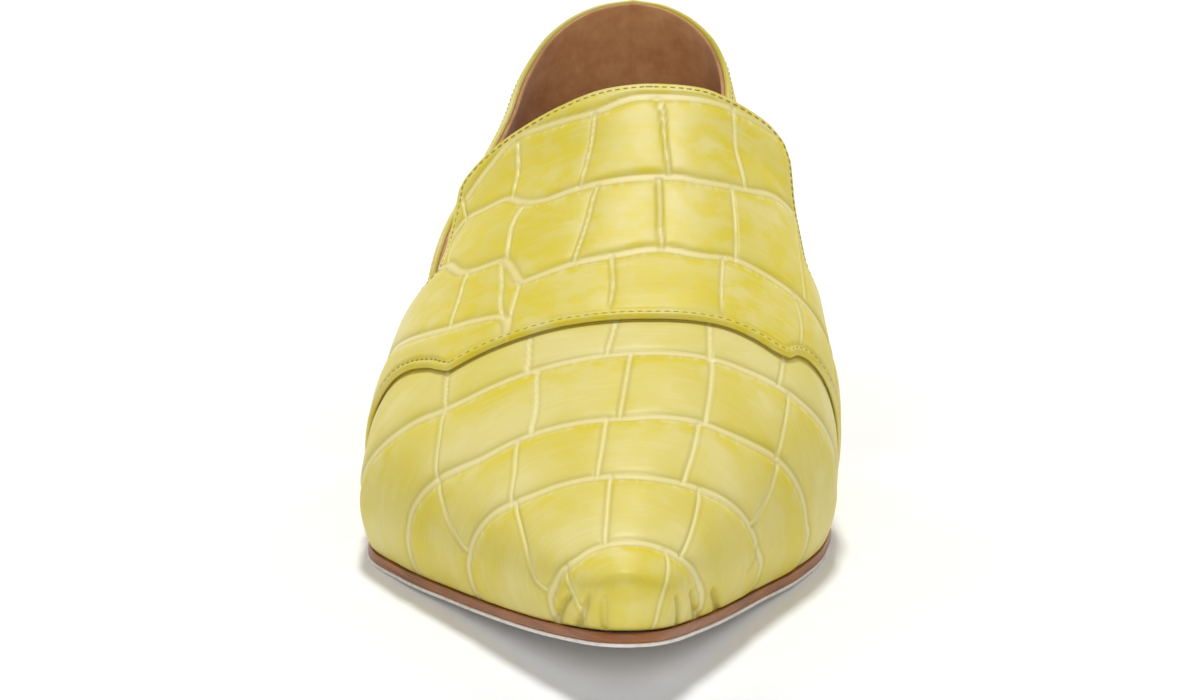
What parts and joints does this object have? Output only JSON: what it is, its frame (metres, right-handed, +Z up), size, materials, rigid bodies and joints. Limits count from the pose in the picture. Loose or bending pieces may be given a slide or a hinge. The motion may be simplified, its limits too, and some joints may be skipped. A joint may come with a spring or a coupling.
{
  "type": "dorsay flat",
  "caption": "Right pointed slip-on flat shoe, upper open at both sides, with a raised instep saddle and tongue, thin sole and low heel.",
  "frame": {"origin": "middle of the shoe's box, at floor level", "axes": "toe to -Y, heel to +Y, inner side of the foot to +X, +Z up"},
  "size_m": [0.0844, 0.26, 0.0755],
  "materials": {
    "croc_leather": "semi-gloss pale yellow leather embossed in a crocodile grain",
    "sock_leather": "matt brown lining leather",
    "edge_leather": "brown leather edge, lightly waxed",
    "sole_leather": "bone-coloured smooth sole",
    "lift_rubber": "matt dark brown rubber"
  },
  "bodies": {
    "root": {"upper": "croc_leather", "saddle": "croc_leather", "insole": "sock_leather", "edge_strip": "edge_leather", "outsole": "sole_leather", "heel_stack": "edge_leather", "heel_lift": "lift_rubber"}
  },
  "joints": []
}
